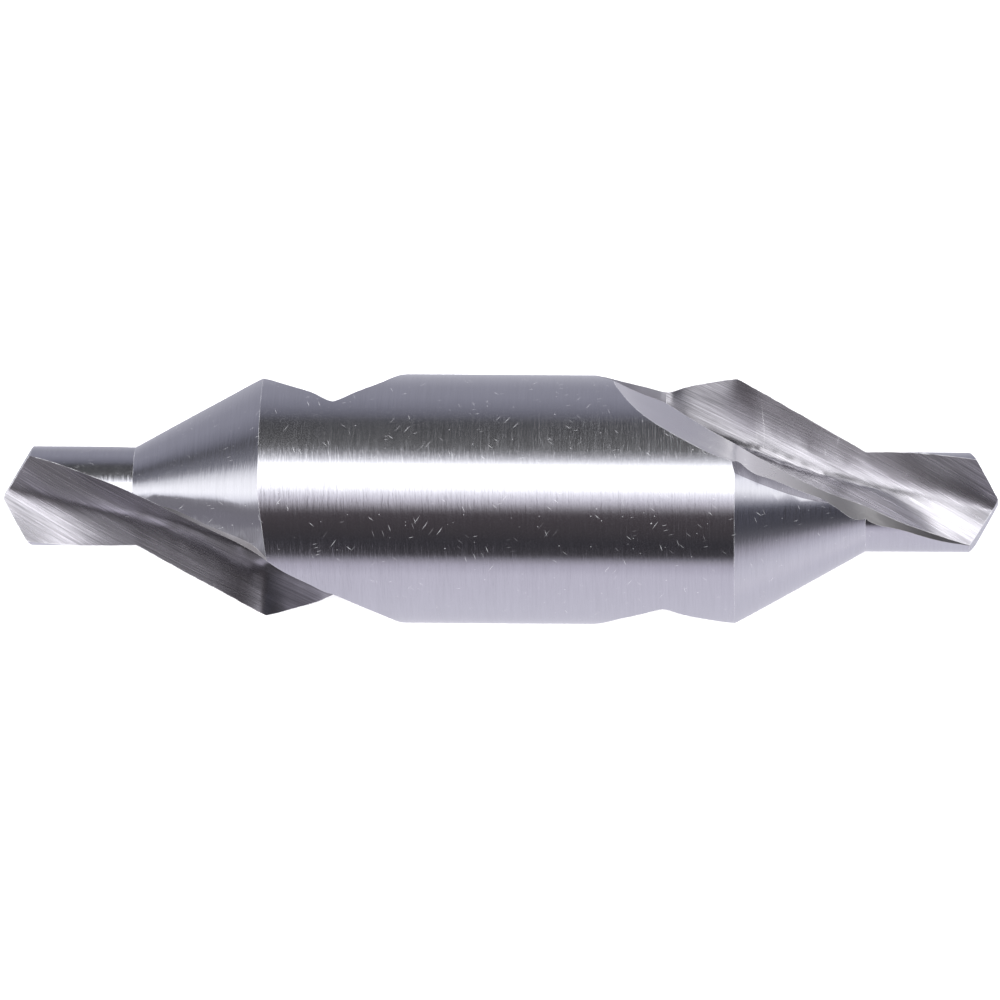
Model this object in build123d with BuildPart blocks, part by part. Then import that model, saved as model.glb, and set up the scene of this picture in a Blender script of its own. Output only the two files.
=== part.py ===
"""Centre drill, double ended, for centre holes with a 60 degree countersink.

The tool is one ground bar of high-speed steel. It lies along X with its middle at the origin. Each end has a pilot
with a two-lip point, a 60 degree cone and two right-hand spiral flutes that run out on the body. At -X the cone lands
are relieved towards the heel, with a narrow strip along it. At +X they are relieved near the heel, and a wide facet
follows the whole heel and runs out with the flute. Millimetres and degrees, +Z up.
"""

from build123d import *
from math import cos, radians, sin, sqrt, tan
import os

# The bar
body_diameter = 25.0
pilot_diameter = 10.0
overall_length = 100.0
pilot_length = 13.3
cone_angle = 60.0

# The point: two flat flanks that meet in the chisel edge
point_angle = 118.0
chisel_turn = 12.0

# The flutes: how far the corner of the throat stands from the axis, and where they lift out of the body
throat_at_point = 1.0
throat_at_cone = 0.8
throat_in_body = 3.8
throat_at_run_out = 6.2
run_out_start = 33.5
run_out_length = 6.75

# The relief of the cone lands at -X: its depth at the heel
land_relief = 0.43

body_radius = body_diameter / 2
pilot_radius = pilot_diameter / 2
cone_length = (body_radius - pilot_radius) / tan(radians(cone_angle / 2))
cone_end = pilot_length + cone_length
neck_length = run_out_start - cone_end
tip = -overall_length / 2


def on_cone(share):
    """The distance from the tip to a place along the cone."""
    return pilot_length + share * cone_length


def on_neck(share):
    """The distance from the tip to a place between the cone and the run-out."""
    return cone_end + share * neck_length


def bar_radius(distance):
    """The radius of the bar at a distance from its tip."""
    on_the_cone = pilot_radius + (distance - pilot_length) * tan(radians(cone_angle / 2))
    return min(max(on_the_cone, pilot_radius), body_radius)


def polar(radius, angle):
    """A point of a cross-section, from its radius and its turn about X, from the +Z side towards -Y."""
    return Vector(radius * cos(radians(angle)), radius * sin(radians(angle)))


def across(distance):
    """The plane across the tool at a distance from the tip at -X, with its own x towards +Z and y towards -Y."""
    return Plane(origin=(tip + distance, 0, 0), x_dir=(0, 0, 1), z_dir=(1, 0, 0))


# Along a flute, for each end: distance from the tip, turn of the cutting edge and turn of the heel. The last two
# numbers place the corner of the throat: how far it stands from the axis towards the opening of the flute, and how
# far to the side of the cutting edge, as a share of the flute's half width
throat_on_pilot = (throat_at_cone - throat_at_point) / 4
throat_on_cone = (throat_in_body - throat_at_cone) / 4
throat_on_neck = (throat_at_run_out - throat_in_body) / 4
left_flute = [
    (-0.12 * pilot_length, 52.0, -75.0, throat_at_point, 0.0),
    (0.11 * pilot_length, 63.0, -60.0, throat_at_point, 0.0),
    (0.34 * pilot_length, 73.5, -45.5, throat_at_point + throat_on_pilot, 0.03),
    (0.56 * pilot_length, 84.0, -31.5, throat_at_point + 2 * throat_on_pilot, 0.12),
    (0.78 * pilot_length, 93.5, -18.0, throat_at_point + 3 * throat_on_pilot, 0.25),
    (pilot_length, 100.0, -3.5, throat_at_cone, 0.36),
    (on_cone(0.25), 102.8, 9.0, throat_at_cone + 0.3 * throat_on_cone, 0.42),
    (on_cone(0.5), 104.5, 17.0, throat_at_cone + 1.2 * throat_on_cone, 0.48),
    (on_cone(0.75), 106.0, 22.2, throat_at_cone + 2.5 * throat_on_cone, 0.53),
    (cone_end, 107.5, 27.3, throat_in_body, 0.59),
    (on_neck(0.25), 113.4, 33.9, throat_in_body + throat_on_neck, 0.65),
    (on_neck(0.5), 118.8, 39.6, throat_in_body + 2 * throat_on_neck, 0.71),
    (on_neck(0.75), 124.0, 44.9, throat_in_body + 3 * throat_on_neck, 0.78),
    (run_out_start, 129.7, 50.0, throat_at_run_out, 0.85),
]

# At +X the turns differ a little, and the throats lie nearer to the axis by this factor
right_turns = [
    (45.0, -80.0), (56.0, -66.5), (66.5, -52.0), (77.0, -37.5), (86.5, -23.3), (93.0, -7.0), (95.8, 5.0),
    (97.5, 13.6), (99.0, 21.0), (101.0, 27.2), (105.4, 32.6), (109.9, 38.8), (114.6, 46.0), (119.3, 54.0),
]
right_depth = 0.82
right_flute = [
    (distance, edge, heel, right_depth * throat, throat_side)
    for (distance, _, _, throat, throat_side), (edge, heel) in zip(left_flute, right_turns)
]
throat_rounding = 0.16
face_hollow = 0.2

# How far the cut spaces go on past the metal. A flute's section goes on past the edge and the heel, and covers all
# the opening between them. A facet's section goes on past its two edges, and covers the round outside it
flute_reach = 0.9
flute_extra_reach = 0.2 * body_radius
flute_cover = 2.6
facet_reach = 0.4
facet_cover = 0.6
past_heel = 0.15
past_land = 0.03

# Along the run-out: share of its length. Past its end the wheel is clear of the body
run_out_steps = [0.25, 0.5, 0.75, 1.0, 1.15]
clear_half_width = 1.2
least_hollow = 0.25

# The facet lifts out over its own length: slower at first, and by the end this share of the radius above the round
facet_run_out_length = 7.6
facet_lift_power = 1.4
facet_clearance = 0.08

# The facet along each heel at +X: distance from the tip, turn of its outer edge, turn of its inner edge, and depth of
# the inner edge under the round as a share of the radius
heel_facet = [
    (-0.12 * pilot_length, -83.5, -81.5, 0.012),
    (0.11 * pilot_length, -69.0, -67.3, 0.014),
    (0.34 * pilot_length, -55.4, -52.9, 0.019),
    (0.56 * pilot_length, -44.3, -38.7, 0.039),
    (0.78 * pilot_length, -32.2, -24.0, 0.053),
    (pilot_length, -19.7, -6.5, 0.075),
    (on_cone(0.25), -3.4, 6.4, 0.061),
    (on_cone(0.5), 5.3, 16.2, 0.073),
    (on_cone(0.75), 11.0, 24.6, 0.081),
    (on_cone(0.9), 14.1, 28.7, 0.087),
    (cone_end, 16.8, 31.6, 0.083),
    (on_neck(0.25), 20.8, 37.3, 0.082),
    (on_neck(0.5), 24.8, 43.9, 0.078),
    (on_neck(0.75), 29.6, 51.5, 0.068),
    (run_out_start, 35.0, 60.0, 0.055),
]

# The relief of the cone lands at +X: share of the cone's length, and turn of the line where it starts. Its slope is
# from the tangent of the round there, and its width a share of the radius
relief_starts = [(0.1, -5.7), (0.4, 0.4), (0.7, 6.5), (1.0, 12.6), (1.3, 18.7)]
relief_slope = 11.0
relief_width = 0.3

# The narrow strip along each heel at -X, on the cone only: distance from the tip, turn and height of its outer edge
# over the round, turn and depth of its inner edge under it, both as shares of the radius
heel_strip = [
    (on_cone(0.04), -2.0, 0.05, 1.0, -0.02),
    (on_cone(0.25), 5.6, -0.013, 9.8, 0.035),
    (on_cone(0.5), 13.6, -0.025, 17.7, 0.044),
    (on_cone(0.75), 19.3, -0.029, 23.0, 0.046),
    (cone_end, 24.6, -0.031, 28.1, 0.046),
    (on_neck(0.15), 28.5, 0.06, 31.0, -0.03),
]


def flute_section(distance, edge, heel, throat, opening):
    """One section of the space that the wheel takes out: a straight back, a round throat and a hollow cutting face."""
    back = (throat - heel).normalized()
    face = (edge - throat).normalized()
    reach = flute_reach * bar_radius(distance) + flute_extra_reach
    start = heel - back * reach
    into_throat = throat + (heel - throat) * throat_rounding
    past_edge = edge + (edge - throat) * face_hollow
    finish = edge + face * reach
    with BuildSketch(across(distance)) as section:
        with BuildLine():
            Line(start, into_throat)
            Bezier(into_throat, throat, past_edge)
            Line(past_edge, finish)
            Polyline(finish, opening * (flute_cover * reach), start)
        make_face()
    return section.sketch


def flute(stations):
    """The space of one whole flute."""
    sections = []
    for distance, edge_turn, heel_turn, throat_out, throat_side in stations:
        radius = bar_radius(distance)
        middle = (edge_turn + heel_turn) / 2
        half_width = radius * sin(radians((edge_turn - heel_turn) / 2))
        opening = polar(1, middle)
        throat = opening * throat_out + polar(1, middle + 90) * (throat_side * half_width)
        edge = polar(radius, edge_turn)
        heel = polar(radius, heel_turn)
        sections.append(flute_section(distance, edge, heel, throat, opening))
    # The wheel lifts straight out towards -Y, and the two sides of the flute close in on its middle
    lifted = [sections[-1]]
    for share in run_out_steps:
        left_over = 1 - min(share, 1)
        edge_level = edge.Y + share * (body_radius - edge.Y)
        heel_level = heel.Y + share * (body_radius - heel.Y)
        edge_side = max(sqrt(max(body_radius**2 - edge_level**2, 0)), clear_half_width)
        heel_side = max(sqrt(max(body_radius**2 - heel_level**2, 0)), clear_half_width)
        throat_level = min(edge_level, heel_level) - left_over * (heel.Y - throat.Y) - least_hollow
        lifted_throat = Vector(-throat_side * edge_side, throat_level)
        lifted_edge = Vector(-edge_side, edge_level)
        lifted_heel = Vector(heel_side, heel_level)
        place = run_out_start + share * run_out_length
        lifted.append(flute_section(place, lifted_edge, lifted_heel, lifted_throat, Vector(0, 1)))
    with BuildPart() as space:
        loft(sections)
        loft(lifted)
    return space.part


def facet_section(distance, outer, inner, past_inner):
    """One section of what is ground off a land: a straight side through two points, and all that is outside it."""
    along = (inner - outer).normalized()
    outward = Vector(along.Y, -along.X)
    start = outer - along * (facet_reach * bar_radius(distance))
    finish = inner + along * past_inner
    cover = outward * (facet_cover * bar_radius(distance))
    with BuildSketch(across(distance)) as section:
        with BuildLine():
            Polyline(start, finish, finish + cover, start + cover, close=True)
        make_face()
    return section.sketch


def heel_facet_sections():
    """The sections of what is ground off one heel at +X, with the run-out."""
    sections = []
    for distance, outer_turn, inner_turn, depth in heel_facet:
        radius = bar_radius(distance)
        outer = polar(radius, outer_turn)
        inner = polar(radius * (1 - depth), inner_turn)
        sections.append(facet_section(distance, outer, inner, past_heel * radius))
    for share in run_out_steps:
        left_over = 1 - min(share, 1)
        clearance = share * facet_clearance * body_radius
        outer_level = outer.Y + share**facet_lift_power * (body_radius - outer.Y)
        inner_level = inner.Y + share * (body_radius - inner.Y)
        outer_side = max(sqrt(max(body_radius**2 - outer_level**2, 0)), 2 * clear_half_width)
        lifted_outer = Vector(outer_side, outer_level + clearance)
        lifted_inner = Vector(inner.X * left_over, inner_level + clearance)
        place = run_out_start + share * facet_run_out_length
        sections.append(facet_section(place, lifted_outer, lifted_inner, past_heel * body_radius))
    return sections


def relief_sections():
    """The sections of what is ground off one cone land at +X. They follow the cone on past its end."""
    sections = []
    for share, start_turn in relief_starts:
        radius = pilot_radius + share * (body_radius - pilot_radius)
        outer = polar(radius, start_turn)
        inner = outer + polar(relief_width * radius, start_turn + 90 + relief_slope)
        sections.append(facet_section(on_cone(share), outer, inner, past_land * radius))
    return sections


def heel_strip_sections():
    """The sections of the narrow strip along one heel at -X."""
    sections = []
    for distance, outer_turn, height, inner_turn, depth in heel_strip:
        radius = bar_radius(distance)
        outer = polar(radius * (1 + height), outer_turn)
        inner = polar(radius * (1 - depth), inner_turn)
        sections.append(facet_section(distance, outer, inner, past_land * radius))
    return sections


with BuildPart() as centre_drill:
    # The bar, turned about X
    with BuildSketch(Plane.XY):
        with BuildLine():
            Polyline(
                (tip, 0),
                (tip, pilot_radius),
                (tip + pilot_length, pilot_radius),
                (tip + cone_end, body_radius),
                (-tip - cone_end, body_radius),
                (-tip - pilot_length, pilot_radius),
                (-tip, pilot_radius),
                (-tip, 0),
                close=True,
            )
        make_face()
    revolve(axis=Axis.X)

    # The relief of the cone lands at -X, turned about a line beside the axis, so that it deepens towards the heel
    heel_turn_at_cone_end = left_flute[9][2]
    eccentricity = land_relief / sin(radians(heel_turn_at_cone_end))
    past_cone = 0.2 * cone_length
    with BuildPart(mode=Mode.PRIVATE) as relief:
        with BuildSketch(Plane(origin=(tip, eccentricity, 0), x_dir=(1, 0, 0), z_dir=(0, -1, 0))):
            with BuildLine():
                Polyline(
                    (pilot_length, pilot_radius),
                    (cone_end + past_cone, body_radius + past_cone * tan(radians(cone_angle / 2))),
                    (cone_end + past_cone, 2 * body_radius),
                    (pilot_length, 2 * body_radius),
                    close=True,
                )
            make_face()
        revolve(axis=Axis((0, eccentricity, 0), (1, 0, 0)), revolution_arc=2 * heel_turn_at_cone_end)
    add(relief.part, mode=Mode.SUBTRACT)
    add(relief.part, rotation=(180, 0, 0), mode=Mode.SUBTRACT)

    # The flutes, two at each end
    left = flute(left_flute)
    right = flute(right_flute)
    add(left, mode=Mode.SUBTRACT)
    add(left, rotation=(180, 0, 0), mode=Mode.SUBTRACT)
    add(right, rotation=(0, 0, 180), mode=Mode.SUBTRACT)
    add(right, rotation=(180, 0, 180), mode=Mode.SUBTRACT)

    # What is ground off the lands along the heels
    with BuildPart(mode=Mode.PRIVATE) as strip:
        loft(heel_strip_sections())
    with BuildPart(mode=Mode.PRIVATE) as cone_relief:
        loft(relief_sections())
    with BuildPart(mode=Mode.PRIVATE) as facet:
        loft(heel_facet_sections())
    add(strip.part, mode=Mode.SUBTRACT)
    add(strip.part, rotation=(180, 0, 0), mode=Mode.SUBTRACT)
    add(cone_relief.part, rotation=(0, 0, 180), mode=Mode.SUBTRACT)
    add(cone_relief.part, rotation=(180, 0, 180), mode=Mode.SUBTRACT)
    add(facet.part, rotation=(0, 0, 180), mode=Mode.SUBTRACT)
    add(facet.part, rotation=(180, 0, 180), mode=Mode.SUBTRACT)

    # The two points: the flanks slope back from the chisel edge
    flank_run = pilot_diameter / tan(radians(point_angle / 2))
    chisel = Vector(0, -sin(radians(chisel_turn)), cos(radians(chisel_turn)))
    with BuildPart(mode=Mode.PRIVATE) as flanks:
        with BuildSketch(Plane(origin=(tip, 0, 0), x_dir=(1, 0, 0), z_dir=chisel)):
            with BuildLine():
                Polyline(
                    (0, 0),
                    (flank_run, pilot_diameter),
                    (-pilot_radius, pilot_diameter),
                    (-pilot_radius, -pilot_diameter),
                    (flank_run, -pilot_diameter),
                    close=True,
                )
            make_face()
        extrude(amount=pilot_diameter, both=True)
    add(flanks.part, mode=Mode.SUBTRACT)
    add(flanks.part, rotation=(0, 0, 180), mode=Mode.SUBTRACT)

centre_drill.part.label = "centre_drill"
os.makedirs("parts", exist_ok=True)
export_step(centre_drill.part, "parts/centre_drill.step")
print("valid", centre_drill.part.is_valid, "volume", centre_drill.part.volume)
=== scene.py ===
from math import cos, degrees, hypot, pi, radians, sin

import bpy
from mathutils import Matrix, Vector


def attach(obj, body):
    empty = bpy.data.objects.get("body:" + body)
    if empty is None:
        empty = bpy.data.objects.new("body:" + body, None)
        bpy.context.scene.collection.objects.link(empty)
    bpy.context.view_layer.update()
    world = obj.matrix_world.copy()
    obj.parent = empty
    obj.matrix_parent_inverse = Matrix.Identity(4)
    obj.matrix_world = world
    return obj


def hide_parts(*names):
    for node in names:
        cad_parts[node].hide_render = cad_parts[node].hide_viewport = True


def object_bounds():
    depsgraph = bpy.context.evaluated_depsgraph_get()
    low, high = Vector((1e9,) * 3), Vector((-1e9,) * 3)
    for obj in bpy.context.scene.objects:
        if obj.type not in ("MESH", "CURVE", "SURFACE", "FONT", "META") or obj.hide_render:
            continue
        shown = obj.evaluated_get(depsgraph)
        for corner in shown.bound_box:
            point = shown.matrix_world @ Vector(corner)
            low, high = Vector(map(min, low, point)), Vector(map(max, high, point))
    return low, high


# Lengths are in metres and angles in degrees. The tool lies along X with its middle at the origin, and the
# camera looks down on its +Z side

# The camera stands straight over the tool, a hair to one side, and a little turned about its own axis
camera_distance = 1.015
camera_yaw = 2.2
camera_roll = 0.41
frame_width = 0.10052
aim_right = -0.00003
aim_up = -0.0001
sensor_width = 36.0
nearest_seen = 0.01
farthest_seen = 20.0

# The floor, and the lamp that hangs over the tool
floor_size = 6.0
floor_colour = (0.93, 0.93, 0.93)
floor_roughness = 0.9
lamp_size = 1.6
lamp_height = 1.6
lamp_power = 60.0

# A direction in the room is a turn about the tool's axis, 0 straight above it, minus towards the picture's
# top and plus towards its bottom, and a lean along the axis, minus to the left and plus to the right. These
# are the bands of light round the middle of the tool, each with its turn. The light changes evenly from one
# to the next
bands_across = [
    (-180, (0.60, 0.60, 0.68)),
    (-146, (0.50, 0.50, 0.57)),
    (-126, (0.40, 0.40, 0.47)),
    (-108, (0.37, 0.37, 0.44)),
    (-94, (0.29, 0.29, 0.35)),
    (-84, (0.19, 0.19, 0.23)),
    (-76, (0.10, 0.10, 0.11)),
    (-68, (0.09, 0.09, 0.095)),
    (-46, (0.12, 0.12, 0.12)),
    (-41, (0.32, 0.32, 0.34)),
    (-36, (0.8, 0.8, 0.85)),
    (-31, (2.0, 2.0, 2.05)),
    (-9, (2.0, 2.0, 2.05)),
    (-4, (1.35, 1.33, 1.42)),
    (0, (1.05, 1.02, 1.13)),
    (5, (0.64, 0.61, 0.67)),
    (10, (0.25, 0.23, 0.25)),
    (14, (0.088, 0.074, 0.082)),
    (30, (0.068, 0.06, 0.066)),
    (42, (0.045, 0.043, 0.05)),
    (54, (0.055, 0.051, 0.057)),
    (59, (0.40, 0.38, 0.44)),
    (64, (0.64, 0.61, 0.72)),
    (75, (0.80, 0.77, 0.89)),
    (120, (0.82, 0.80, 0.91)),
    (180, (0.74, 0.73, 0.82)),
]
# Those past the left end, and the leans over which they take over
left_side = (-50.0, -58.0)
bands_to_the_left = [
    (-180, (0.9, 0.9, 0.95)),
    (-152, (0.73, 0.73, 0.76)),
    (-134, (0.43, 0.43, 0.47)),
    (-118, (0.25, 0.25, 0.28)),
    (-94, (0.25, 0.25, 0.30)),
    (-75, (0.20, 0.20, 0.24)),
    (-54, (0.25, 0.25, 0.29)),
    (-47, (0.5, 0.5, 0.55)),
    (-40, (1.0, 1.0, 1.06)),
    (-27, (1.4, 1.4, 1.45)),
    (0, (1.55, 1.55, 1.6)),
    (12, (1.3, 1.3, 1.38)),
    (19, (1.0, 1.0, 1.08)),
    (26, (0.40, 0.39, 0.43)),
    (34, (0.26, 0.25, 0.28)),
    (58, (0.25, 0.24, 0.28)),
    (66, (0.42, 0.41, 0.45)),
    (90, (0.6, 0.6, 0.66)),
    (180, (0.9, 0.9, 0.95)),
]
# Those past the right end
right_side = (30.0, 42.0)
bands_to_the_right = [
    (-180, (0.85, 0.84, 0.92)),
    (-109, (0.60, 0.60, 0.66)),
    (-90, (0.47, 0.46, 0.51)),
    (-74, (0.32, 0.32, 0.36)),
    (-62, (0.39, 0.38, 0.43)),
    (-48, (0.8, 0.8, 0.88)),
    (-32, (1.3, 1.3, 1.38)),
    (-14, (1.4, 1.4, 1.45)),
    (-6, (0.95, 0.94, 1.02)),
    (2, (0.42, 0.42, 0.48)),
    (9, (0.17, 0.17, 0.21)),
    (20, (0.11, 0.11, 0.14)),
    (40, (0.10, 0.10, 0.12)),
    (54, (0.17, 0.165, 0.19)),
    (66, (0.46, 0.44, 0.51)),
    (77, (0.68, 0.66, 0.76)),
    (92, (0.84, 0.82, 0.93)),
    (120, (0.95, 0.92, 1.02)),
    (180, (0.95, 0.92, 1.02)),
]
# The long white box is askew to the tool. Between two leans it comes to turn by so much, first to the left
# and then to the right, where it turns back again. Between the last two turns from the top the room stops
# being askew
skew_to_left = (-4.5, -10.5, -20.0)
skew_to_right = (3.0, 25.0, 34.0)
skew_back_again = (22.0, 32.0)
askew_within = (45.0, 75.0)
# What else stands round the middle: a second box over the right end, and dark screens and dim walls under
# both ends. Each has four turns and four leans, where it starts, is full, is full to, and ends, and its
# light
boxes_and_screens = [
    ((-87, -80, -36, -28), (2.3, 6, 34, 44), (2.6, 2.6, 2.65)),
    ((46, 54, 138, 150), (-60, -58, -9, -5.5), (0.27, 0.26, 0.28)),
    ((46, 52, 88, 100), (7, 13, 38, 46), (0.10, 0.095, 0.105)),
    ((4, 10, 42, 50), (-42, -36, -24, -17), (0.40, 0.39, 0.42)),
    ((9, 15, 36, 44), (3, 8, 19, 26), (0.34, 0.33, 0.36)),
]
# The dark gap low down past the right end
low_gap = ((7, 19, 71, 83), (57, 63, 90, 100), (0.05, 0.048, 0.052))

# From the middle of the tool: where the body ends, where the pilot starts, and the slope of the cone
# between them
body_radius = 0.0125
body_to = 0.0237
pilot_from = 0.0367
cone_slope = 30.0

# How the ground faces are told apart. A point's faces lie past point_from and turn from the plain bar by
# more than point_turn. The others turn by less than these, or are flutes, and a run-out stays within
# run_out_to of the middle
point_from = 0.0465
point_turn = 50
land_turn = 7
relief_turn = 10
facet_turn = 25
run_out_to = 0.0166
# A land that turns by less than this is part of the bar's own cylinders and cones
round_turn = 2.0

# The CAD mesh is loose triangles. Points nearer to each other than this are one
merge_distance = 0.000001
# Ground faces that meet at less than this angle run smoothly into each other
smooth_below = 13.0
# So do those that one pass of the wheel leaves. At the right end the run-out is a pass of its own
wheel_pass = {"flute": "flute", "run_out": "flute", "painted_light_run_out": "run_out"}
# The flutes' hollows are eased so often, so that they curve as softly as the wheel left them
flute_easings = 30
easing_share = 0.5

# The wheel's lines in the flutes slope down to the right, and more steeply towards the tip
line_slope = 0.48
steeper_from = 0.030
steeper_by = 7.0

# An edge's painted highlight is a bright line measured from the edge in millimetres, and a corner that has
# no edge near is put far away. The line is full up to this share of its width. Faces narrower than
# narrow_face are too thin to carry it
millimetres = 1000
far_from_edge = 10.0
full_line = 0.3
narrow_face = 0.00015
# The painted highlight comes and goes: its patches to a metre, and the noise at which it starts and is full
highlight_patches = 900
highlight_starts = 0.38
highlight_full = 0.62
least_highlight = 0.1

# Dusty and scratched spots are dull and pale, and so is the painted highlight along the edges
scuff_and_highlight_colour = (0.60, 0.60, 0.61)
scuff_and_highlight_roughness = 0.6
# The dark lines of the wheel are rougher than the light ones
rough_in_dark = 1.2
rough_in_light = 0.85

# Marks from handling lie in cells: how many cells there are to a metre along and across a mark, its turn in
# radians, how far it reaches in its cell, and what it is. It is full up to full_mark of its reach, and
# between the faintest and the strongest
handling = [
    (1900, 1900, 0.0, 0.13, "Specks"),
    (900, 1100, 0.4, 0.09, "Specks"),
    (150, 1900, 0.95, 0.085, "Scratches"),
    (240, 2100, -0.7, 0.09, "Scratches"),
    (190, 2000, 1.9, 0.08, "Scratches"),
    (320, 2300, 0.25, 0.09, "Scratches"),
]
full_mark = 0.3
faintest = 0.03
strongest = 0.36

# The wheels that leave the marks: whether their lines go round the bar or follow the flute, and the share
# of broad lines. The lines and the waves are so many to a metre, along X, Y and Z on the bar, and along and
# across the lines in a flute
round_wheel = {"follows": "bar", "lines": (6500, 260, 260), "waves": (2600, 300, 300), "broad": 0.35}
flute_wheel = {"follows": "flute", "lines": (160, 6000, 1), "waves": (60, 900, 1), "broad": 0.3}
facet_wheel = {"follows": "flute", "lines": (150, 3600, 1), "waves": (80, 700, 1), "broad": 0.5}
point_wheel = {"follows": "bar", "lines": (500, 5200, 900), "waves": (300, 900, 300), "broad": 0.5}
broad_in_waves = 0.3
# For one fine line there is this much of a broad one
broad_to_fine = 0.22
# The noise at which a line is at its darkest and at its lightest
darkest_at = 0.35
lightest_at = 0.65

# Each ground face's steel. Streaks says how dark the dark lines are, and specks, scratches and edge_light
# how much of them shows, edge_light being the painted highlight along edges. Shade is painted shade and
# light that scales the colour. Shade and roughness are the same all over, or change from one distance from
# the middle to another
steels = {
    "land": {
        "name": "ground_land", "wheel": round_wheel, "colour": (0.62, 0.62, 0.65),
        "line_height": 1.4e-6, "wave_height": 17e-6, "streaks": 0.06, "shade": 1.0, "roughness": 0.13,
        "specks": 0.03, "scratches": 0.13, "edge_width": 0.035, "edge_light": 0.35,
    },
    # The relief's colour is darker than the other steel's as painted shade
    "relief": {
        "name": "ground_relief", "wheel": round_wheel, "colour": (0.34, 0.33, 0.36),
        "line_height": 1.2e-6, "wave_height": 6e-6, "streaks": 0.06, "shade": 1.0, "roughness": 0.25,
        "specks": 0.02, "scratches": 0.05, "edge_width": 0.03, "edge_light": 0.2,
    },
    "flute": {
        "name": "wheel_cut_flute", "wheel": flute_wheel, "colour": (0.61, 0.595, 0.63),
        "line_height": 10e-6, "wave_height": 7e-6, "streaks": 0.5,
        # The flute's shade is painted shade towards the run-out and painted light just over full towards
        # the tip
        "shade": ((0.018, 0.65), (0.037, 1.05)), "roughness": ((0.018, 0.22), (0.037, 0.28)),
        "specks": 0.01, "scratches": 0.02, "edge_width": 0.07, "edge_light": 0.9,
    },
    "run_out": {
        "name": "wheel_run_out", "wheel": flute_wheel, "colour": (0.60, 0.59, 0.62),
        "line_height": 8e-6, "wave_height": 6e-6, "streaks": 0.3,
        # The run-out's shade is painted shade, darkest nearest the middle of the tool
        "shade": ((0.011, 0.45), (0.018, 0.6)), "roughness": ((0.011, 0.2), (0.018, 0.24)),
        "specks": 0.01, "scratches": 0.02, "edge_width": 0.05, "edge_light": 0.5,
    },
    # At the right end the run-out is a copy of the run-out steel with its own colour, shade and roughness:
    # painted light, paler than the left end's run-out and dimming towards its end
    "painted_light_run_out": {
        "name": "painted_light_run_out", "wheel": flute_wheel, "colour": (0.40, 0.39, 0.42),
        "line_height": 4e-6, "wave_height": 4e-6, "streaks": 0.15,
        "shade": ((0.012, 1.0), (0.016, 0.8)), "roughness": ((0.012, 0.30), (0.016, 0.42)),
        "specks": 0.01, "scratches": 0.02, "edge_width": 0.04, "edge_light": 0.4,
    },
    # The facet's colour is paler than the other steel's as painted light, and its shade darkens it towards
    # the tip as painted shade
    "facet": {
        "name": "ground_facet", "wheel": facet_wheel, "colour": (0.97, 0.95, 0.95),
        "line_height": 1.5e-6, "wave_height": 4e-6, "streaks": 0.05,
        "shade": ((0.025, 1.0), (0.034, 0.3)), "roughness": ((0.025, 0.22), (0.034, 0.45)),
        "specks": 0.01, "scratches": 0.04, "edge_width": 0.03, "edge_light": 0.3,
    },
    "point": {
        "name": "ground_point", "wheel": point_wheel, "colour": (0.60, 0.60, 0.63),
        "line_height": 4e-6, "wave_height": 4e-6, "streaks": 0.12, "shade": 1.0, "roughness": 0.25,
        "specks": 0.01, "scratches": 0.02, "edge_width": 0.05, "edge_light": 0.7,
    },
}


def place_camera():
    """The photograph's viewing angle: from above, with the tool across the picture."""
    yaw = radians(camera_yaw)
    roll = radians(camera_roll)
    right = Vector((cos(yaw), 0, -sin(yaw)))
    up = Vector((0, 1, 0))
    back = Vector((sin(yaw), 0, cos(yaw)))
    turned_right = right * cos(roll) + up * sin(roll)
    turned_up = up * cos(roll) - right * sin(roll)
    data = bpy.data.cameras.new("camera")
    data.sensor_width = sensor_width
    data.lens = sensor_width * camera_distance / frame_width
    data.clip_start = nearest_seen
    data.clip_end = farthest_seen
    camera = bpy.data.objects.new("camera", data)
    bpy.context.scene.collection.objects.link(camera)
    place = turned_right * aim_right + turned_up * aim_up + back * camera_distance
    turn = Matrix((turned_right, turned_up, back)).transposed().to_4x4()
    camera.matrix_world = Matrix.Translation(place) @ turn
    bpy.context.scene.camera = camera


def lay_floor():
    """A plain pale floor under the tool."""
    low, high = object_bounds()
    bpy.ops.mesh.primitive_plane_add(size=floor_size, location=(0, 0, low[2]))
    floor = bpy.context.object
    floor.name = "floor"
    material = bpy.data.materials.new("pale_floor")
    material.use_nodes = True
    shader = material.node_tree.nodes["Principled BSDF"]
    shader.inputs["Base Color"].default_value = (*floor_colour, 1)
    shader.inputs["Roughness"].default_value = floor_roughness
    floor.data.materials.append(material)
    floor.visible_glossy = False


def feed(tree, socket, value):
    """Gives a node's socket a number or a colour, or the socket that feeds it."""
    if isinstance(value, bpy.types.NodeSocket):
        tree.links.new(value, socket)
    elif isinstance(value, tuple):
        socket.default_value = (*value, 1)
    else:
        socket.default_value = value


def reckon(tree, operation, first, second=0.0):
    """A Math node."""
    node = tree.nodes.new("ShaderNodeMath")
    node.operation = operation
    feed(tree, node.inputs[0], first)
    feed(tree, node.inputs[1], second)
    return node.outputs[0]


def times(tree, first, second):
    """A Math node that multiplies."""
    return reckon(tree, "MULTIPLY", first, second)


def grade(tree, value, low, high, to_low=0.0, to_high=1.0, soft=False):
    """A Map Range node, held at both ends."""
    node = tree.nodes.new("ShaderNodeMapRange")
    node.interpolation_type = "SMOOTHSTEP" if soft else "LINEAR"
    feed(tree, node.inputs["Value"], value)
    feed(tree, node.inputs["From Min"], low)
    feed(tree, node.inputs["From Max"], high)
    feed(tree, node.inputs["To Min"], to_low)
    feed(tree, node.inputs["To Max"], to_high)
    return node.outputs["Result"]


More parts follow.
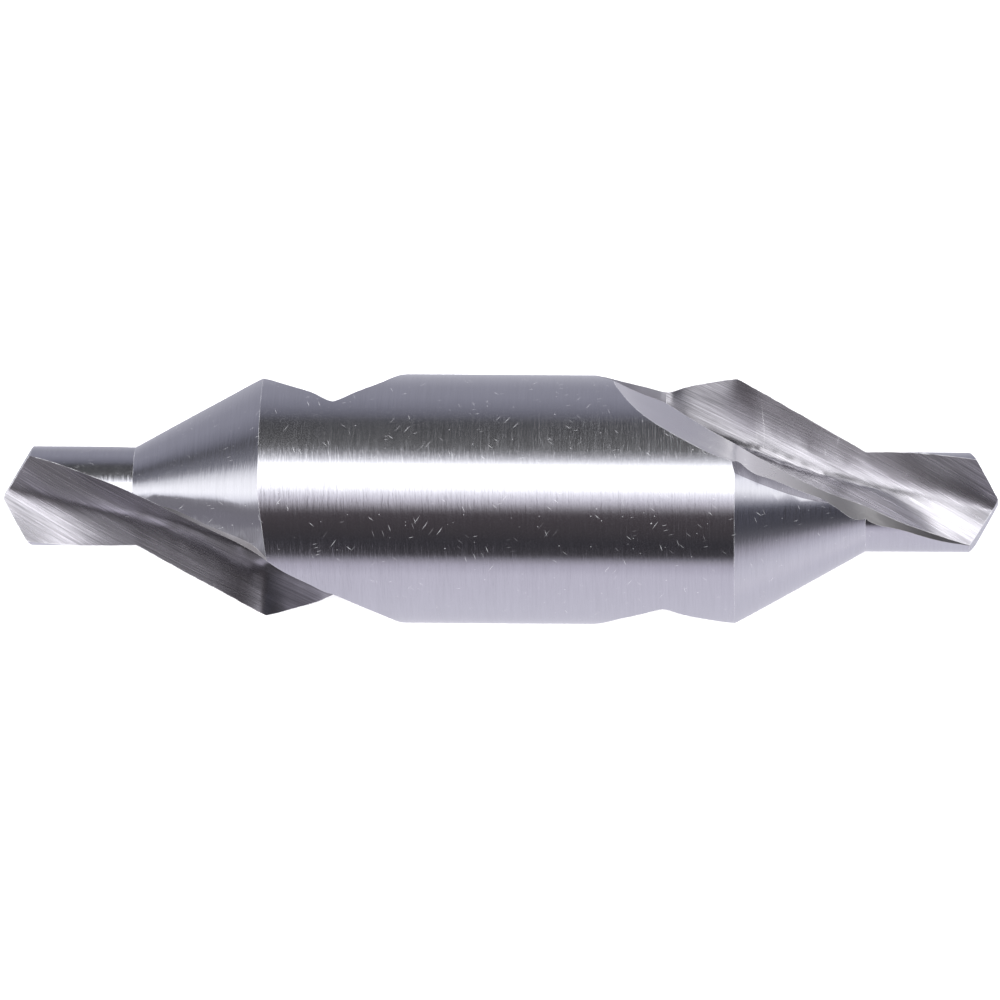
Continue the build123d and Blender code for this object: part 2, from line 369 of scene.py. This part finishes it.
def mix(tree, share, first, second):
    """A Mix node for two colours, by the second one's share."""
    node = tree.nodes.new("ShaderNodeMix")
    node.data_type = "RGBA"
    feed(tree, node.inputs["Factor"], share)
    feed(tree, node.inputs[6], first)
    feed(tree, node.inputs[7], second)
    return node.outputs[2]


def parts_of(tree, place):
    """The X, Y and Z of a place or a direction."""
    node = tree.nodes.new("ShaderNodeSeparateXYZ")
    tree.links.new(place, node.inputs[0])
    return node.outputs


def room_bands(tree, turn, bands):
    """The bands of light on one side of the room."""
    ramp = tree.nodes.new("ShaderNodeValToRGB")
    elements = ramp.color_ramp.elements
    elements[0].color = (*bands[0][1], 1)
    elements[1].color = (*bands[-1][1], 1)
    for band_turn, light in bands[1:-1]:
        elements.new((band_turn + 180) / 360).color = (*light, 1)
    tree.links.new(grade(tree, turn, -180.0, 180.0), ramp.inputs["Fac"])
    return ramp.outputs["Color"]


def stretch(tree, value, limits):
    """One from the second limit to the third, falling softly to nothing at the first and the fourth."""
    starts, full, full_to, ends = limits
    rise = grade(tree, value, starts, full, soft=True)
    return times(tree, rise, grade(tree, value, ends, full_to, soft=True))


def light_studio():
    """Soft light all round: a long white box above, dark gaps beside it and a pale room below."""
    world = bpy.data.worlds.new("studio")
    bpy.context.scene.world = world
    world.use_nodes = True
    tree = world.node_tree
    direction = parts_of(tree, tree.nodes.new("ShaderNodeTexCoord").outputs["Generated"])
    down = times(tree, direction["Y"], -1.0)
    to_degrees = 180 / pi
    turn = times(tree, reckon(tree, "ARCTAN2", down, direction["Z"]), to_degrees)
    lean = times(tree, reckon(tree, "ARCSINE", direction["X"]), to_degrees)

    left_from, left_to, left_by = skew_to_left
    right_from, right_to, right_by = skew_to_right
    to_left = grade(tree, lean, left_from, left_to, 0.0, left_by)
    to_right = grade(tree, lean, right_from, right_to, 0.0, right_by)
    to_right = times(tree, to_right, grade(tree, lean, *skew_back_again, 1.0, 0.0))
    askew = grade(tree, reckon(tree, "ABSOLUTE", turn), *askew_within, 1.0, 0.0)
    skew = times(tree, askew, reckon(tree, "ADD", to_left, to_right))
    room = room_bands(tree, reckon(tree, "SUBTRACT", turn, skew), bands_across)
    for turns, leans, light in boxes_and_screens:
        room = mix(tree, times(tree, stretch(tree, turn, turns), stretch(tree, lean, leans)), room, light)
    for side, bands in ((left_side, bands_to_the_left), (right_side, bands_to_the_right)):
        room = mix(tree, grade(tree, lean, *side, soft=True), room, room_bands(tree, turn, bands))
    turns, leans, light = low_gap
    room = mix(tree, times(tree, stretch(tree, turn, turns), stretch(tree, lean, leans)), room, light)
    background = tree.nodes["Background"]
    tree.links.new(room, background.inputs["Color"])
    background.inputs["Strength"].default_value = 1.0

    lamp = bpy.data.lights.new("overhead", "AREA")
    lamp.shape = "DISK"
    lamp.size = lamp_size
    lamp.energy = lamp_power
    overhead = bpy.data.objects.new("overhead", lamp)
    bpy.context.scene.collection.objects.link(overhead)
    overhead.location = (0, 0, lamp_height)
    overhead.visible_glossy = False


def new_group(name, inputs, outputs):
    """An empty shader group with its named sockets, and its two end nodes."""
    group = bpy.data.node_groups.new(name, "ShaderNodeTree")
    for label, kind in inputs.items():
        group.interface.new_socket(label, in_out="INPUT", socket_type="NodeSocket" + kind)
    for label, kind in outputs.items():
        group.interface.new_socket(label, in_out="OUTPUT", socket_type="NodeSocket" + kind)
    return group, group.nodes.new("NodeGroupInput").outputs, group.nodes.new("NodeGroupOutput").inputs


def use_group(tree, group, values):
    """One use of a group, with its own values."""
    node = tree.nodes.new("ShaderNodeGroup")
    node.node_tree = group
    for label, value in values.items():
        feed(tree, node.inputs[label], value)
    return node.outputs


def scaled(tree, place, to_a_metre, turn=0.0):
    """A Mapping node that turns a place and then scales it, so that a unit is one of so many to a metre."""
    node = tree.nodes.new("ShaderNodeMapping")
    node.vector_type = "TEXTURE"
    node.inputs["Rotation"].default_value = (0.0, 0.0, turn)
    node.inputs["Scale"].default_value = [1 / number for number in to_a_metre]
    tree.links.new(place, node.inputs["Vector"])
    return node.outputs["Vector"]


def noise(tree, place, detail, roughness=0.6):
    """A Noise node with features about one unit across."""
    node = tree.nodes.new("ShaderNodeTexNoise")
    node.inputs["Scale"].default_value = 1.0
    node.inputs["Detail"].default_value = detail
    node.inputs["Roughness"].default_value = roughness
    tree.links.new(place, node.inputs["Vector"])
    return node.outputs["Fac"]


def make_wheel_marks():
    """Marks that a grinding wheel leaves: fine lines, and broader ones where a grain stood out."""
    group, given, result = new_group(
        "wheel_marks", {"Place": "Vector", "Broad Share": "Float"}, {"Height": "Float", "Tone": "Float"}
    )
    fine = noise(group, given["Place"], detail=3.0, roughness=0.7)
    broad = noise(group, scaled(group, given["Place"], (broad_to_fine,) * 3), detail=2.0)
    fine_share = reckon(group, "SUBTRACT", 1.0, given["Broad Share"])
    both = reckon(group, "ADD", times(group, fine, fine_share), times(group, broad, given["Broad Share"]))
    feed(group, result["Height"], both)
    feed(group, result["Tone"], grade(group, both, darkest_at, lightest_at))
    return group


def make_handling_marks():
    """Specks of dust and short scratches from handling, as on a sheet that is rolled round the bar."""
    group, given, result = new_group(
        "handling_marks", {"Place": "Vector", "Specks": "Float", "Scratches": "Float"}, {"Mask": "Float"}
    )
    place = parts_of(group, given["Place"])
    sheet = group.nodes.new("ShaderNodeCombineXYZ")
    feed(group, sheet.inputs["X"], place["X"])
    round_bar = reckon(group, "ARCTAN2", place["Y"], place["Z"])
    feed(group, sheet.inputs["Y"], times(group, round_bar, body_radius))
    total = 0.0
    for along, across, turn, reach, amount in handling:
        cells = group.nodes.new("ShaderNodeTexVoronoi")
        cells.voronoi_dimensions = "2D"
        cells.inputs["Scale"].default_value = 1.0
        cell_place = scaled(group, sheet.outputs["Vector"], (along, across, 1), turn)
        feed(group, cells.inputs["Vector"], cell_place)
        spot = grade(group, cells.outputs["Distance"], reach, reach * full_mark)
        chance = group.nodes.new("ShaderNodeSeparateColor")
        feed(group, chance.inputs["Color"], cells.outputs["Color"])
        chosen = reckon(group, "LESS_THAN", chance.outputs["Red"], given[amount])
        strength = grade(group, chance.outputs["Green"], 0.0, 1.0, faintest, strongest)
        mark = times(group, times(group, spot, chosen), strength)
        total = reckon(group, "MAXIMUM", total, mark)
    feed(group, result["Mask"], total)
    return group


def make_painted_edge_highlight():
    """A painted highlight: the thin bright line that a rounded edge would catch, which comes and goes along
    it.
    """
    group, given, result = new_group(
        "painted_edge_highlight",
        {"Place": "Vector", "From Edge": "Float", "Width": "Float", "Light": "Float"},
        {"Mask": "Float"},
    )
    line = grade(group, given["From Edge"], given["Width"], times(group, given["Width"], full_line))
    patches = noise(group, scaled(group, given["Place"], (highlight_patches,) * 3), detail=2.0)
    lit_stretches = grade(group, patches, highlight_starts, highlight_full, least_highlight, given["Light"])
    feed(group, result["Mask"], times(group, line, lit_stretches))
    return group


def make_ground_surface():
    """Steel with the wheel's dark and light lines in it, its colour scaled by the painted shade and light
    of Shade, and dull and pale where it is scuffed or carries the painted edge highlight.
    """
    group, given, result = new_group(
        "ground_surface",
        {
            "Colour": "Color", "Marks": "Float", "Streaks": "Float", "Shade": "Float", "Roughness": "Float",
            "Scuffs And Highlight": "Float",
        },
        {"Colour": "Color", "Metallic": "Float", "Roughness": "Float"},
    )
    darkest = reckon(group, "SUBTRACT", 1.0, given["Streaks"])
    # Shade scales the steel's colour: painted shade where it is under one and painted light where it is
    # over one
    tone = times(group, grade(group, given["Marks"], 0.0, 1.0, darkest, 1.0), given["Shade"])
    steel_colour = mix(group, tone, (0, 0, 0), given["Colour"])
    feed(group, result["Colour"], mix(group, given["Scuffs And Highlight"], steel_colour, scuff_and_highlight_colour))
    feed(group, result["Metallic"], reckon(group, "SUBTRACT", 1.0, given["Scuffs And Highlight"]))
    by_mark = grade(group, given["Marks"], 0.0, 1.0, rough_in_dark, rough_in_light)
    rough = times(group, given["Roughness"], by_mark)
    rough = reckon(group, "MAXIMUM", rough, times(group, given["Scuffs And Highlight"], scuff_and_highlight_roughness))
    feed(group, result["Roughness"], rough)
    return group


def bump(tree, height, distance, normal=None):
    """A Bump node: marks this high, on the surface or on other marks."""
    node = tree.nodes.new("ShaderNodeBump")
    node.inputs["Distance"].default_value = distance
    tree.links.new(height, node.inputs["Height"])
    if normal:
        tree.links.new(normal, node.inputs["Normal"])
    return node.outputs["Normal"]


def along_tool(tree, out, value):
    """A value that is the same all over, or changes from one distance from the middle to another."""
    if isinstance(value, float):
        return value
    (first_out, first_value), (second_out, second_value) = value
    return grade(tree, out, first_out, second_out, first_value, second_value, soft=True)


def steel(finish, effects):
    """Ground high-speed steel in one of its finishes."""
    material = bpy.data.materials.new(finish["name"])
    material.use_nodes = True
    tree = material.node_tree
    shader = tree.nodes["Principled BSDF"].inputs
    place = tree.nodes.new("ShaderNodeTexCoord").outputs["Object"]
    wheel = finish["wheel"]
    lines_place = place
    if wheel["follows"] == "flute":
        lines = tree.nodes.new("ShaderNodeUVMap")
        lines.uv_map = "wheel_lines"
        lines_place = lines.outputs["UV"]
    marks = use_group(tree, effects["wheel_marks"], {
        "Place": scaled(tree, lines_place, wheel["lines"]), "Broad Share": wheel["broad"],
    })
    waves = use_group(tree, effects["wheel_marks"], {
        "Place": scaled(tree, lines_place, wheel["waves"]), "Broad Share": broad_in_waves,
    })
    handled = use_group(tree, effects["handling_marks"], {
        "Place": place, "Specks": finish["specks"], "Scratches": finish["scratches"],
    })
    # The line along each sharp edge is a painted highlight, pale and dull steel that the lamp lights; it
    # joins the specks and scratches of handling
    from_edge = tree.nodes.new("ShaderNodeAttribute")
    from_edge.attribute_name = "from_edge"
    edge = use_group(tree, effects["painted_edge_highlight"], {
        "Place": place, "From Edge": from_edge.outputs["Fac"],
        "Width": finish["edge_width"], "Light": finish["edge_light"],
    })
    out = reckon(tree, "ABSOLUTE", parts_of(tree, place)["X"])
    surface = use_group(tree, effects["ground_surface"], {
        "Colour": finish["colour"], "Marks": marks["Tone"], "Streaks": finish["streaks"],
        "Shade": along_tool(tree, out, finish["shade"]),
        "Roughness": along_tool(tree, out, finish["roughness"]),
        "Scuffs And Highlight": reckon(tree, "MAXIMUM", handled["Mask"], edge["Mask"]),
    })
    feed(tree, shader["Base Color"], surface["Colour"])
    feed(tree, shader["Metallic"], surface["Metallic"])
    feed(tree, shader["Roughness"], surface["Roughness"])
    swell = bump(tree, waves["Height"], finish["wave_height"])
    feed(tree, shader["Normal"], bump(tree, marks["Height"], finish["line_height"], swell))
    return material


def bar_normal(place, at_x):
    """Which way the plain bar would face at a place: straight out from the axis, or tilted on a cone."""
    out = hypot(place.y, place.z)
    tilt = radians(cone_slope) if body_to < abs(at_x) < pilot_from else 0.0
    ahead = sin(tilt) if at_x > 0 else -sin(tilt)
    return Vector((ahead, cos(tilt) * place.y / out, cos(tilt) * place.z / out))


def ground_faces(mesh):
    """The CAD mesh in lots that hang together. Each lot is one ground face of the tool."""
    lot_of = list(range(len(mesh.vertices)))

    def head(vertex):
        while lot_of[vertex] != vertex:
            lot_of[vertex] = lot_of[lot_of[vertex]]
            vertex = lot_of[vertex]
        return vertex

    for edge in mesh.edges:
        first, second = edge.vertices
        lot_of[head(first)] = head(second)
    lots = {}
    for face in mesh.polygons:
        lots.setdefault(head(face.vertices[0]), []).append(face)
    return list(lots.values())


def turn_from_bar(lot):
    """How far a ground face turns from the plain bar."""
    area = sum(face.area for face in lot)
    if area == 0:
        return 0
    return sum(
        face.area * degrees(bar_normal(face.center, face.center.x).angle(face.normal, 0)) for face in lot
    ) / area


def finish_of(lot):
    """What a ground face is, by how far it turns from the plain bar and where it is."""
    turn = turn_from_bar(lot)
    if turn > point_turn and min(abs(face.center.x) for face in lot) > point_from:
        return "point"
    if turn < land_turn:
        return "land"
    if turn < relief_turn:
        return "relief"
    if turn < facet_turn:
        return "facet"
    if max(abs(face.center.x) for face in lot) > run_out_to:
        return "flute"
    return "run_out" if lot[0].center.x < 0 else "painted_light_run_out"


def copy_tool(node):
    """A copy of the CAD tool to dress, with a mesh of its own."""
    tool = node.copy()
    tool.data = node.data.copy()
    tool.name = "ground_tool"
    tool.data.name = "ground_tool"
    bpy.context.scene.collection.objects.link(tool)
    return tool


def sort_ground_faces(mesh, finishes):
    """Gives each ground face its finish, and keeps its number, its flute's side and if it is round."""
    mesh.materials.clear()
    for material in finishes.values():
        mesh.materials.append(material)
    slots = list(finishes)
    marks = {name: [0] * len(mesh.polygons) for name in ("ground_face", "flute_side", "true_round")}
    for number, lot in enumerate(ground_faces(mesh)):
        name = finish_of(lot)
        middle = sum((face.center * face.area for face in lot), Vector())
        side = 1 if middle.y * middle.x > 0 else -1
        true_round = int(name == "land" and turn_from_bar(lot) < round_turn)
        for face in lot:
            face.material_index = slots.index(name)
            marks["ground_face"][face.index] = number
            marks["flute_side"][face.index] = side
            marks["true_round"][face.index] = true_round
    for name, values in marks.items():
        mesh.attributes.new(name, "INT", "FACE")
        mesh.attributes[name].data.foreach_set("value", values)


def merge_triangles(tool):
    """Joins the CAD's loose triangles, and leaves the tool selected."""
    bpy.ops.object.select_all(action="DESELECT")
    bpy.context.view_layer.objects.active = tool
    tool.select_set(True)
    bpy.ops.mesh.customdata_custom_splitnormals_clear()
    bpy.ops.object.mode_set(mode="EDIT")
    bpy.ops.mesh.select_all(action="SELECT")
    bpy.ops.mesh.remove_doubles(threshold=merge_distance)
    bpy.ops.object.mode_set(mode="OBJECT")


def by_edge(mesh, what):
    """What is so of the faces on either side of each edge."""
    found = {edge.key: [] for edge in mesh.edges}
    for face in mesh.polygons:
        for key in face.edge_keys:
            found[key].append(what(face))
    return found


def keep_edges(mesh, slots):
    """Keeps an edge crisp where two ground faces meet, unless one pass of the wheel left both."""
    number = mesh.attributes["ground_face"].data
    numbers = by_edge(mesh, lambda face: number[face.index].value)
    normals = by_edge(mesh, lambda face: face.normal.copy())
    passes = by_edge(mesh, lambda face: wheel_pass.get(slots[face.material_index]))
    for edge in mesh.edges:
        sides = normals[edge.key]
        angle = degrees(sides[0].angle(sides[1], 0)) if len(sides) == 2 else 180
        meet = len(set(numbers[edge.key])) > 1
        one_pass = len(set(passes[edge.key])) == 1 and None not in passes[edge.key]
        edge.use_edge_sharp = meet and angle > smooth_below and not one_pass
    for face in mesh.polygons:
        face.use_smooth = True
    mesh.attributes.remove(mesh.attributes["ground_face"])


def ease_flutes(tool, slots):
    """Eases the flutes' hollows between their edges, which stay where they are."""
    mesh = tool.data
    inside = [True] * len(mesh.vertices)
    for face in mesh.polygons:
        if slots[face.material_index] not in wheel_pass:
            for vertex in face.vertices:
                inside[vertex] = False
    for edge in mesh.edges:
        if edge.use_edge_sharp:
            for vertex in edge.vertices:
                inside[vertex] = False
    bpy.ops.object.mode_set(mode="EDIT")
    bpy.ops.mesh.select_mode(type="VERT")
    bpy.ops.mesh.select_all(action="DESELECT")
    bpy.ops.object.mode_set(mode="OBJECT")
    for vertex in mesh.vertices:
        vertex.select = inside[vertex.index]
    bpy.ops.object.mode_set(mode="EDIT")
    bpy.ops.mesh.vertices_smooth(factor=easing_share, repeat=flute_easings)
    bpy.ops.mesh.select_all(action="DESELECT")
    bpy.ops.object.mode_set(mode="OBJECT")


def weight_normals(tool):
    """Lets broad triangles count for more than thin ones in the smooth shading."""
    bpy.ops.object.modifier_add(type="WEIGHTED_NORMAL")
    weighted = tool.modifiers[-1]
    weighted.mode = "FACE_AREA"
    weighted.keep_sharp = True
    bpy.ops.object.modifier_apply(modifier=weighted.name)


def lay_wheel_lines(mesh):
    """Lays each face corner along and across the wheel's lines, alike in both flutes of an end."""
    layer = mesh.uv_layers.new(name="wheel_lines")
    side_of = mesh.attributes["flute_side"].data
    for face in mesh.polygons:
        side = side_of[face.index].value
        for corner in face.loop_indices:
            place = mesh.vertices[mesh.loops[corner].vertex_index].co
            out = abs(place.x)
            drop = line_slope * out + steeper_by * max(out - steeper_from, 0) ** 2 / 2
            across = side * place.y + (drop if place.x > 0 else -drop)
            along = place.x - line_slope * side * place.y
            layer.data[corner].uv = (along, across)
    mesh.attributes.remove(mesh.attributes["flute_side"])


def measure_from_edges(mesh):
    """Keeps how far each face corner is from the face's own sharp edge, for the painted highlight along it.
    """
    sharp = {edge.key for edge in mesh.edges if edge.use_edge_sharp}
    layer = mesh.attributes.new("from_edge", "FLOAT", "CORNER")
    for face in mesh.polygons:
        for corner in face.loop_indices:
            layer.data[corner].value = far_from_edge
        own = [key for key in face.edge_keys if key in sharp]
        if not own:
            continue
        length, key = max(((mesh.vertices[a].co - mesh.vertices[b].co).length, (a, b)) for a, b in own)
        if length == 0 or 2 * face.area / length < narrow_face:
            continue
        for corner, vertex in zip(face.loop_indices, face.vertices):
            layer.data[corner].value = 0.0 if vertex in key else millimetres * 2 * face.area / length


def true_up_lands(mesh):
    """Gives the lands their exact round normals, except where they run smoothly into another face."""
    true_round = mesh.attributes["true_round"].data
    both_sides = by_edge(mesh, lambda face: true_round[face.index].value)
    blended = set()
    for edge in mesh.edges:
        if not edge.use_edge_sharp and len(set(both_sides[edge.key])) > 1:
            blended.update(edge.vertices)
    normals = [corner.vector.copy() for corner in mesh.corner_normals]
    for face in mesh.polygons:
        if not true_round[face.index].value:
            continue
        for corner, vertex in zip(face.loop_indices, face.vertices):
            if vertex not in blended:
                normals[corner] = bar_normal(mesh.vertices[vertex].co, face.center.x)
    mesh.attributes.remove(mesh.attributes["true_round"])
    mesh.normals_split_custom_set(normals)


def dress_tool(node, finishes):
    """The CAD tool's merged copy, each ground face in its own finish and the edges between them crisp."""
    slots = list(finishes)
    tool = copy_tool(node)
    sort_ground_faces(tool.data, finishes)
    merge_triangles(tool)
    keep_edges(tool.data, slots)
    ease_flutes(tool, slots)
    weight_normals(tool)
    lay_wheel_lines(tool.data)
    measure_from_edges(tool.data)
    true_up_lands(tool.data)
    tool.select_set(False)
    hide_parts("centre_drill")
    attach(tool, "root")


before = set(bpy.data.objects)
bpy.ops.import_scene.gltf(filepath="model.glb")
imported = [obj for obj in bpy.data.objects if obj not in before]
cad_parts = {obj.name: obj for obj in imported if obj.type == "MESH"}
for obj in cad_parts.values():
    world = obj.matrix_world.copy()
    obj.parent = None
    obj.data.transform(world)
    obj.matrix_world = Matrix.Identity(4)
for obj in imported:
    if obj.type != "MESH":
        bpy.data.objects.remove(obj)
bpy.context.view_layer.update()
bpy.context.scene.view_settings.view_transform = "Standard"
bpy.ops.object.select_all(action="DESELECT")
place_camera()
lay_floor()
light_studio()

effects = {
    "wheel_marks": make_wheel_marks(),
    "handling_marks": make_handling_marks(),
    "painted_edge_highlight": make_painted_edge_highlight(),
    "ground_surface": make_ground_surface(),
}
finishes = {ground_face: steel(finish, effects) for ground_face, finish in steels.items()}
dress_tool(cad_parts["centre_drill"], finishes)
